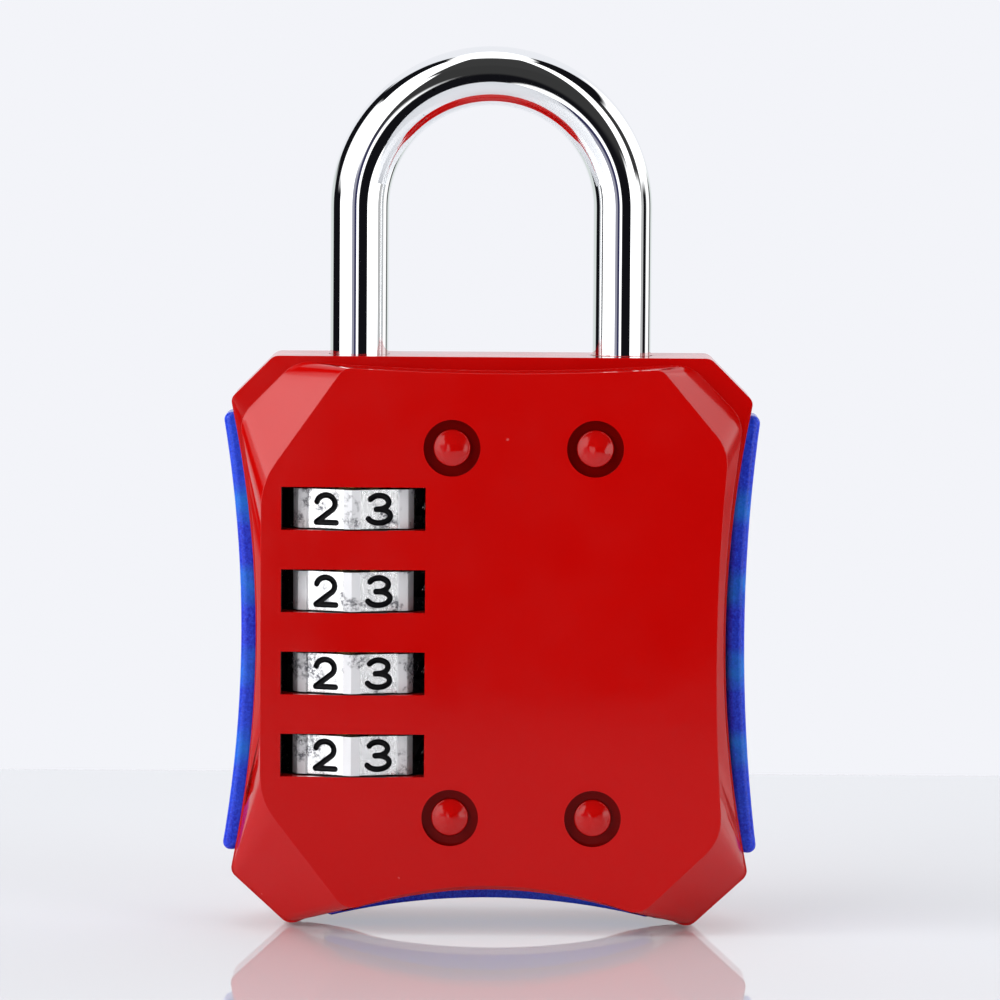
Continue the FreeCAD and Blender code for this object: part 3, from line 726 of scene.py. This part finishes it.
def digit_strokes():
    """Each digit's pen strokes about its own middle: up to three lists of points."""
    six = [arc(0, -0.50, 1.0, 0.90, 0, 360), arc(0.85, -0.50, 1.85, 1.90, 92, 180)]
    nine = [[(-x, -z) for x, z in stroke] for stroke in six]
    return [
        [arc(0, 0, 1.02, 1.40, 0, 360)],
        [[(-0.50, 0.85), (0.12, 1.40)], [(0.12, 1.40), (0.12, -1.40)]],
        [arc(-0.03, 0.53, 1.0, 0.87, 168, -40) + [(-1.08, -1.38)], [(-1.08, -1.40), (1.10, -1.40)]],
        [arc(-0.04, 0.70, 1.02, 0.70, 152, -90) + [(-0.32, 0.0)],
         [(-0.32, 0.0)] + arc(-0.04, -0.70, 1.20, 0.70, 90, -158)],
        [[(0.45, 1.40), (-1.05, -0.50)], [(-1.05, -0.50), (1.05, -0.50)], [(0.45, 1.40), (0.45, -1.40)]],
        [[(0.90, 1.40), (-0.75, 1.40)], arc(-0.05, -0.50, 1.05, 0.90, 140, -150),
         [(-0.75, 1.40), (-0.85, 0.08)]],
        six,
        [[(-1.0, 1.40), (1.0, 1.40)], [(1.0, 1.40), (-0.30, -1.40)]],
        [arc(0, 0.72, 0.86, 0.68, 0, 360), arc(0, -0.68, 1.05, 0.72, 0, 360)],
        nine,
    ]


def sector_frame(digit):
    """The outward, rightward and upward directions of one digit's flat."""
    angle = -math.pi / 2 + (digit - 2.5) * STEP + WHEEL_TURN
    outward = Vector((math.cos(angle), math.sin(angle), 0))
    rightward = Vector((-math.sin(angle), math.cos(angle), 0))
    return outward, rightward, Vector((0, 0, 1))


def add_stroke(bm, stroke, frame_of, centre, pen):
    """A round-ended tube of radius pen along one stroke, sunk a little into the digit's flat."""
    outward, rightward, upward = frame_of
    closed = math.dist(stroke[0], stroke[-1]) < 1e-6
    flat = stroke[:-1] if closed else stroke
    base = centre + outward * (FLAT_RADIUS - 0.02 * MM)
    places = [base + rightward * (x * MM) + upward * (z * MM) for x, z in flat]
    count = len(places)
    rings = []

    def ring(place, tangent, radius):
        side = tangent.cross(outward).normalized()
        points = []
        for index in range(12):
            angle = math.tau * index / 12
            points.append(place + side * (radius * math.cos(angle))
                          + outward * (radius * math.sin(angle)))
        rings.append(points)

    tangents = []
    for index in range(count):
        before = places[index - 1] if closed or index else places[0]
        after = places[(index + 1) % count] if closed or index < count - 1 else places[-1]
        tangents.append((after - before).normalized())
    if not closed:
        for step in range(4):
            angle = math.pi / 2 * (step + 0.25) / 4.25
            ring(places[0] - tangents[0] * (pen * math.cos(angle)), tangents[0],
                 pen * math.sin(angle))
    for place, tangent in zip(places, tangents):
        ring(place, tangent, pen)
    if not closed:
        for step in reversed(range(4)):
            angle = math.pi / 2 * (step + 0.25) / 4.25
            ring(places[-1] + tangents[-1] * (pen * math.cos(angle)), tangents[-1],
                 pen * math.sin(angle))
        loft(bm, rings)
        return
    rings.append(rings[0])
    made = loft(bm, rings[:-1], closed_ends=False)
    for index in range(12):
        after = (index + 1) % 12
        bm.faces.new((made[-1][index], made[-1][after], made[0][after], made[0][index]))


def wheel_blank(centre, height):
    """The wheel's ribbed outside as a solid, before the clutch hole and the digits are cut."""
    rib = STEP / 2
    foot = (FLAT_RADIUS - RIB_HALF * math.sin(rib)) / math.cos(rib)
    reach = foot * math.sin(rib) - RIB_HALF * math.cos(rib)
    shoulder = RIB_RADIUS - RIB_HALF * math.tan(rib)
    outline = []
    for digit in range(DIGIT_COUNT):
        outward, rightward, _ = sector_frame(digit)
        ridge = outward * math.cos(rib) + rightward * math.sin(rib)
        aside = rightward * math.cos(rib) - outward * math.sin(rib)
        outline += [outward * FLAT_RADIUS - rightward * reach,
                    outward * FLAT_RADIUS + rightward * reach,
                    ridge * shoulder - aside * RIB_HALF,
                    ridge * RIB_RADIUS,
                    ridge * shoulder + aside * RIB_HALF]
    bm = bmesh.new()
    half = Vector((0, 0, height / 2))
    loft(bm, [[centre + point - half for point in outline],
              [centre + point + half for point in outline]])
    return mesh_from(bm, "wheel_blank")


def decagon_tool(centre, apothem, height):
    bm = bmesh.new()
    rings = []
    for level in (-height / 2, height / 2):
        ring = []
        for index in range(DIGIT_COUNT):
            angle = (index + 0.5) * STEP + math.pi / 2
            radius = apothem / math.cos(STEP / 2)
            ring.append(centre + Vector((radius * math.cos(angle), radius * math.sin(angle), level)))
        rings.append(ring)
    loft(bm, rings)
    return scratch("clutch_hole", mesh_from(bm, "clutch_hole"))


def wheels():
    """Four alike wheels with ten engraved, paint-filled digits each."""
    low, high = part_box("dial_wheel_1")
    centre = (low + high) / 2
    height = high.z - low.z
    pattern = scratch("wheel_pattern", wheel_blank(centre, height))
    pattern.data.materials.append(DIAL)
    pattern.data.materials.append(BLACK)
    boolean(pattern, decagon_tool(centre, 6.2 * MM, 2 * height), "DIFFERENCE")
    soften(pattern, 0.1 * MM, 25, segments=2)
    strokes = digit_strokes()
    for layer in range(3):
        bm = bmesh.new()
        for digit, drawn in enumerate(strokes):
            if layer < len(drawn):
                add_stroke(bm, drawn[layer], sector_frame(digit), centre,
                           STROKE_RADIUS * (1 - 0.015 * layer))
        cutter_mesh = mesh_from(bm, "digit_cutter")
        cutter_mesh.materials.append(DIAL)
        cutter_mesh.materials.append(BLACK)
        for face in cutter_mesh.polygons:
            face.material_index = 1
        boolean(pattern, scratch("digit_cutter", cutter_mesh), "DIFFERENCE")
    pattern.data.materials.append(DIAL_RIB)
    for face in pattern.data.polygons:
        reach = math.hypot(face.center.x - centre.x, face.center.y - centre.y)
        if face.material_index == 0 and reach > FLAT_RADIUS + 0.35 * MM:
            face.material_index = 2
    for index in range(1, DIAL_COUNT + 1):
        drop = middle(f"dial_wheel_{index}").z - centre.z
        mesh = pattern.data.copy()
        mesh.transform(Matrix.Translation((0, 0, drop)))
        piece = scratch(f"dial_wheel_{index}_look", mesh)
        mesh.shade_smooth()
        edges = piece.modifiers.new("split", "EDGE_SPLIT")
        edges.split_angle = math.radians(40)
        weigh = piece.modifiers.new("normals", "WEIGHTED_NORMAL")
        weigh.weight = 50
        piece.modifiers.remove(edges)
        apply_modifiers(piece)
        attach(piece, f"dial_{index}")
        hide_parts(f"dial_wheel_{index}")
    bpy.data.objects.remove(pattern)


def inner_pieces():
    """The sleeves, springs, washers and detent leaf keep their CAD shapes and get their finishes."""
    finishes = {f"dial_sleeve_{index}": BRASS for index in range(1, DIAL_COUNT + 1)}
    for node in ("shackle_spring", "reset_spring", "detent_leaf", "thrust_washer", "reset_washer"):
        finishes[node] = STEEL
    for node, material in finishes.items():
        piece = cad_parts[node]
        if not piece.material_slots:
            piece.data.materials.append(material)
        for place in piece.material_slots:
            place.material = material


# Stage, light and camera -----------------------------------------------------------------------

FLOOR_BACK = 122 * MM
FLOOR_FRONT = -210 * MM
FLOOR_REACH = 300 * MM


def floor():
    """A gloss-white table top whose far edge is a little way behind the lock."""
    bm = bmesh.new()
    corners = [(-FLOOR_REACH, FLOOR_FRONT), (FLOOR_REACH, FLOOR_FRONT),
               (FLOOR_REACH, FLOOR_BACK), (-FLOOR_REACH, FLOOR_BACK)]
    bm.faces.new([bm.verts.new((x, y, 0)) for x, y in corners])
    ground = new_object("floor", mesh_from(bm, "floor"), [gloss_floor("gloss_floor")], smooth=False)


def ramp(tree, value, stops):
    """A colour ramp over -180 to 180 degrees; stops are (degrees, colour or grey)."""
    spread = tree.nodes.new("ShaderNodeMapRange")
    spread.inputs["From Min"].default_value = -math.pi
    spread.inputs["From Max"].default_value = math.pi
    tree.links.new(value, spread.inputs["Value"])
    node = tree.nodes.new("ShaderNodeValToRGB")
    elements = node.color_ramp.elements
    while len(elements) < len(stops):
        elements.new(0.5)
    for element, (degrees, colour) in zip(elements, stops):
        element.position = (degrees + 180) / 360
        tone = colour if isinstance(colour, tuple) else (colour, colour, colour)
        element.color = (*(part / BRIGHTEST for part in tone), 1)
    tree.links.new(spread.outputs["Result"], node.inputs["Fac"])
    return node.outputs["Color"]


def bands(entries, soft=0.7):
    """Ramp stops for even bands: entries are (end degrees, colour), each up to its end."""
    stops = []
    start = -180.0
    for end, colour in entries:
        stops.append((start + (soft if stops else 0), colour))
        stops.append((end - (soft if end < 180 else 0), colour))
        start = end
    return stops


BRIGHTEST = 5.0
BOX_LIGHT = 1.9
WALL = (0.88, 0.89, 0.93)
BACK = (0.70, 0.75, 0.73)
DARK = (0.006, 0.006, 0.008)


def studio():
    """Soft boxes left and right, an overhead sheet, black cards beside them and a pale backdrop.

    Each band is an angle to the right of straight ahead of the lock's face, in degrees, up to which
    its brightness holds.
    """
    world = bpy.data.worlds.new("studio")
    bpy.context.scene.world = world
    world.use_nodes = True
    tree = world.node_tree
    background = tree.nodes["Background"]
    where = tree.nodes.new("ShaderNodeTexCoord")
    parts = tree.nodes.new("ShaderNodeSeparateXYZ")
    tree.links.new(where.outputs["Generated"], parts.inputs[0])

    def compute(operation, first, second=0.0):
        node = tree.nodes.new("ShaderNodeMath")
        node.operation = operation
        for slot, value in ((0, first), (1, second)):
            if isinstance(value, float):
                node.inputs[slot].default_value = value
            else:
                tree.links.new(value, node.inputs[slot])
        return node.outputs[0]

    def blend(share, first, second):
        node = tree.nodes.new("ShaderNodeMix")
        node.data_type = "RGBA"
        tree.links.new(share, node.inputs["Factor"])
        tree.links.new(first, node.inputs["A"])
        tree.links.new(second, node.inputs["B"])
        return node.outputs["Result"]

    turn = compute("ARCTAN2", parts.outputs["X"], compute("MULTIPLY", parts.outputs["Y"], -1.0))
    rise = compute("ARCSINE", parts.outputs["Z"])

    def above(degrees, soft=3.0):
        node = tree.nodes.new("ShaderNodeMapRange")
        node.interpolation_type = "SMOOTHSTEP"
        node.inputs["From Min"].default_value = math.radians(degrees - soft)
        node.inputs["From Max"].default_value = math.radians(degrees + soft)
        tree.links.new(rise, node.inputs["Value"])
        return node.outputs["Result"]

    low = ramp(tree, turn, bands([
        (-150, WALL), (-124, BACK), (-82, DARK), (-30, BOX_LIGHT), (-20, (0.33, 0.33, 0.40)),
        (-12, (0.03, 0.03, 0.09)), (-4, 1.6), (31, DARK), (75, 2.3), (88, 0.5),
        (104, DARK), (126, 1.1), (136, 0.06), (150, BACK), (180, WALL)]))
    middle_height = ramp(tree, turn, bands([
        (-136, WALL), (-100, DARK), (-88, 1.4), (-64, 4.6), (-22, 2.2), (40, 0.04), (62, BOX_LIGHT),
        (82, 0.04), (142, 1.7), (180, WALL)]))
    upper = ramp(tree, turn, bands([
        (-126, WALL), (-80, DARK), (-30, BOX_LIGHT), (40, 0.045), (62, BOX_LIGHT), (126, DARK),
        (180, WALL)]))
    overhead = ramp(tree, turn, bands([(-60, 2.2), (60, 2.1), (180, 2.2)]))
    sky = blend(above(8, 5.0), low, middle_height)
    sky = blend(above(41), sky, upper)
    sky = blend(above(74), sky, overhead)
    lamp = tree.nodes.new("ShaderNodeEmission")
    lamp.inputs["Strength"].default_value = BRIGHTEST
    tree.links.new(sky, lamp.inputs["Color"])
    background.inputs["Color"].default_value = (0.896, 0.905, 0.947, 1)
    rays = tree.nodes.new("ShaderNodeLightPath")
    choose = tree.nodes.new("ShaderNodeMixShader")
    tree.links.new(rays.outputs["Is Camera Ray"], choose.inputs["Fac"])
    tree.links.new(lamp.outputs[0], choose.inputs[1])
    tree.links.new(background.outputs[0], choose.inputs[2])
    tree.links.new(choose.outputs[0], tree.nodes["World Output"].inputs["Surface"])


def camera():
    """In front of the shackle's plane, a little above the bow, with a long lens."""
    data = bpy.data.cameras.new("camera")
    eye = bpy.data.objects.new("camera", data)
    bpy.context.scene.collection.objects.link(eye)
    place = Vector((0.87 * MM, SHACKLE_Y - 600 * MM, 92.6 * MM))
    target = Vector((0.87 * MM, SHACKLE_Y, 44.1 * MM))
    eye.location = place
    facing = (target - place).to_track_quat("-Z", "Y")
    roll = Euler((0, 0, math.radians(0.4))).to_quaternion()
    eye.rotation_mode = "QUATERNION"
    eye.rotation_quaternion = facing @ roll
    data.sensor_width = 36
    data.lens = 209.6
    data.clip_start = 0.01
    data.clip_end = 20
    bpy.context.scene.camera = eye


camera()
studio()
bpy.context.scene.view_settings.view_transform = "Standard"
floor()
case_shells()
for strip, rounding in (("left_trim", 0.7 * MM), ("right_trim", 0.7 * MM), ("bottom_trim", 0.35 * MM)):
    trim(strip, rounding)
rivets()
shackle()
wheels()
inner_pieces()
